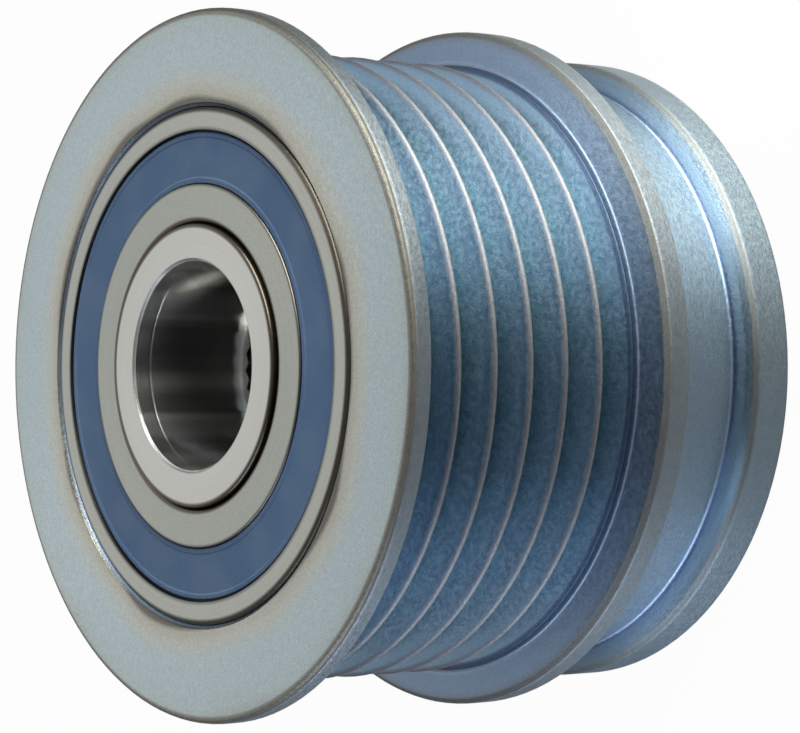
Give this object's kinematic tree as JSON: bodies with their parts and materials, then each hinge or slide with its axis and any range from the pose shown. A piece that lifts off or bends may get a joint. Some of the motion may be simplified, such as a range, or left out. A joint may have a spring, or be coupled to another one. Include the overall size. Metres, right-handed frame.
{
  "type": "alternator pulley",
  "caption": "Ribbed-belt alternator pulley with a one-way clutch: flanged grooved rim on two sealed ball bearings round a hub with a stepped bore.",
  "frame": {"origin": "middle of the hub's rear end face, on which the pulley stands", "axes": "+Z along the axis, from the rear end to the bearing end that the picture shows"},
  "size_m": [0.0578, 0.0578, 0.0415],
  "materials": {
    "zinc_plate": "bright zinc plating with a fine grain and a faint blue and cream passivation",
    "ground_steel": "ground bearing steel, satin",
    "turned_steel": "fine turned steel, pale on the end face and dark in the bore",
    "seal_rubber": "matte blue nitrile rubber",
    "polished_steel": "polished ball and roller steel",
    "cage_sheet": "stamped sheet steel",
    "dark_polyamide": "dark glass-filled polyamide",
    "hardened_steel": "hardened and ground steel",
    "spring_steel": "spring strip"
  },
  "bodies": {
    "hub": {"hub_sleeve": "turned_steel", "front_inner_ring": "ground_steel", "rear_inner_ring": "ground_steel", "front_spacer": "hardened_steel", "rear_spacer": "hardened_steel", "cam_ring": "hardened_steel", "roller_cage": "dark_polyamide", "clutch_rollers": "polished_steel", "roller_springs": "spring_steel"},
    "rim": {"pulley_rim": "zinc_plate", "front_outer_ring": "ground_steel", "rear_outer_ring": "ground_steel", "clutch_race": "hardened_steel", "front_side_plate": "cage_sheet", "rear_side_plate": "cage_sheet", "front_outer_seal": "seal_rubber", "front_inner_seal": "seal_rubber", "rear_outer_seal": "seal_rubber", "rear_inner_seal": "seal_rubber"},
    "front_ball_set": {"front_cage_upper": "cage_sheet", "front_cage_lower": "cage_sheet", "front_cage_rivets": "cage_sheet", "front_balls": "polished_steel"},
    "rear_ball_set": {"rear_cage_upper": "cage_sheet", "rear_cage_lower": "cage_sheet", "rear_cage_rivets": "cage_sheet", "rear_balls": "polished_steel"}
  },
  "joints": [
    {"name": "rim_spin", "type": "hinge", "parent": "hub", "child": "rim", "pos_m": [0, 0, 0.02], "axis": [0, 0, 1], "continuous": true},
    {"name": "front_cage_spin", "type": "hinge", "parent": "hub", "child": "front_ball_set", "pos_m": [0, 0, 0.0367], "axis": [0, 0, 1], "continuous": true},
    {"name": "rear_cage_spin", "type": "hinge", "parent": "hub", "child": "rear_ball_set", "pos_m": [0, 0, 0.0053], "axis": [0, 0, 1], "continuous": true}
  ],
  "couplings": [
    {"joint": "front_cage_spin", "follows": "rim_spin", "ratio": 0.58461},
    {"joint": "rear_cage_spin", "follows": "rim_spin", "ratio": 0.58461}
  ]
}
